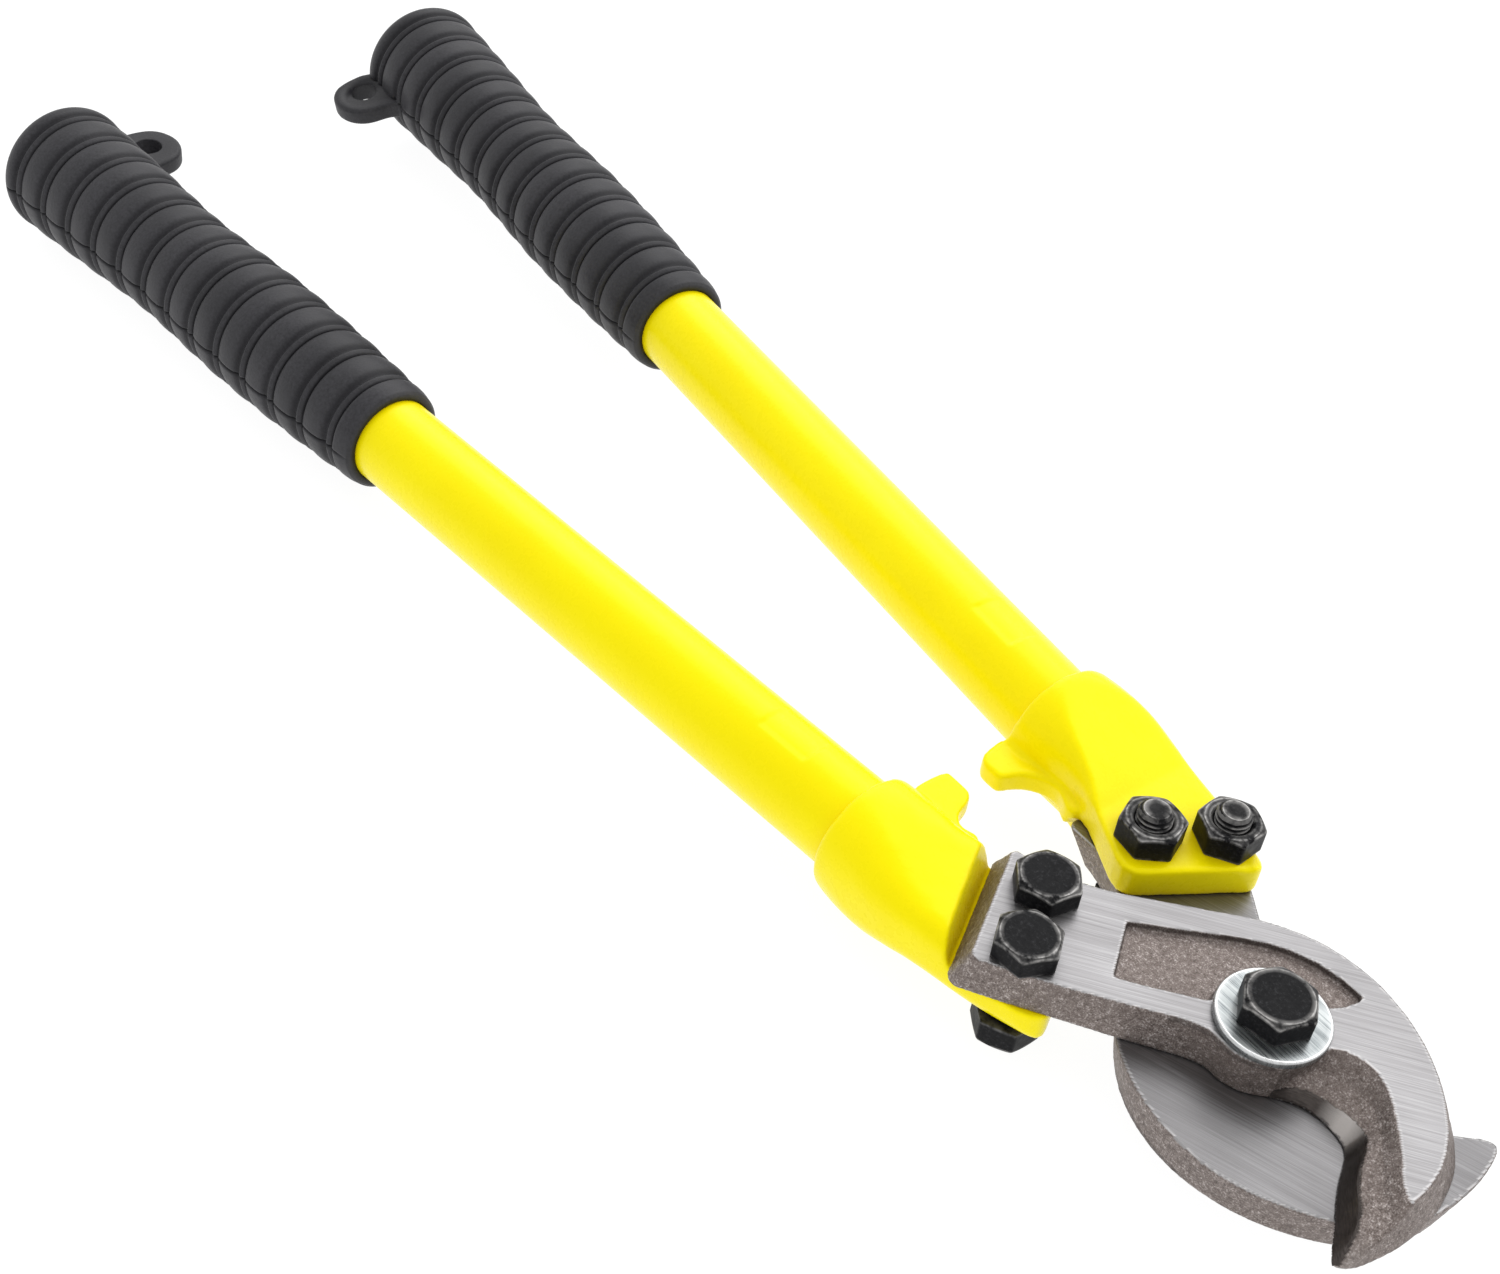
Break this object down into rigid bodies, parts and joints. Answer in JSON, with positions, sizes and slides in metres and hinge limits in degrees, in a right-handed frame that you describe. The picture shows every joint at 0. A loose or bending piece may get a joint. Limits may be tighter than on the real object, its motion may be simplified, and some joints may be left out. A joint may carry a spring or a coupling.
{
  "type": "cable cutter",
  "caption": "Two-handed cable cutter: hooked shear jaws clamped into painted sockets on tubular handles with banded rubber grips, opening about one pivot bolt.",
  "frame": {"origin": "centre of the closed tool's bounding box: on its centre line, in the shear plane where the two jaws slide past each other. The pivot axis crosses that plane at x = 0.1409 m.", "axes": "+X along the tool towards the jaw tips, the handles run to -X; +Z along the pivot towards the pivot bolt's head, on the side of the upper jaw; +Y towards the handle that carries the lower jaw"},
  "size_m": [0.3517, 0.1188, 0.032],
  "materials": {
    "jaw_steel": "ground flats on rough cast steel",
    "yellow_paint": "gloss",
    "black_oxide": "black oxide, worn edges",
    "zinc_plate": "bright zinc plate",
    "grip_rubber": "matte moulded rubber"
  },
  "bodies": {
    "left_half": {"lower_jaw": "jaw_steel", "left_handle_socket": "yellow_paint", "left_handle_tube": "yellow_paint", "left_grip": "grip_rubber", "left_clamp_bolt_inner": "black_oxide", "left_clamp_bolt_outer": "black_oxide", "left_clamp_nut_inner": "black_oxide", "left_clamp_nut_outer": "black_oxide", "pivot_bolt": "black_oxide", "pivot_nut": "black_oxide", "pivot_washer_top": "zinc_plate", "pivot_washer_bottom": "zinc_plate"},
    "right_half": {"upper_jaw": "jaw_steel", "right_handle_socket": "yellow_paint", "right_handle_tube": "yellow_paint", "right_grip": "grip_rubber", "right_clamp_bolt_inner": "black_oxide", "right_clamp_bolt_outer": "black_oxide", "right_clamp_nut_inner": "black_oxide", "right_clamp_nut_outer": "black_oxide"}
  },
  "joints": [
    {"name": "jaw_pivot", "type": "hinge", "parent": "left_half", "child": "right_half", "pos_m": [0.1409, 0, 0], "axis": [0, 0, 1], "range_deg": [-5.3, 95]}
  ]
}
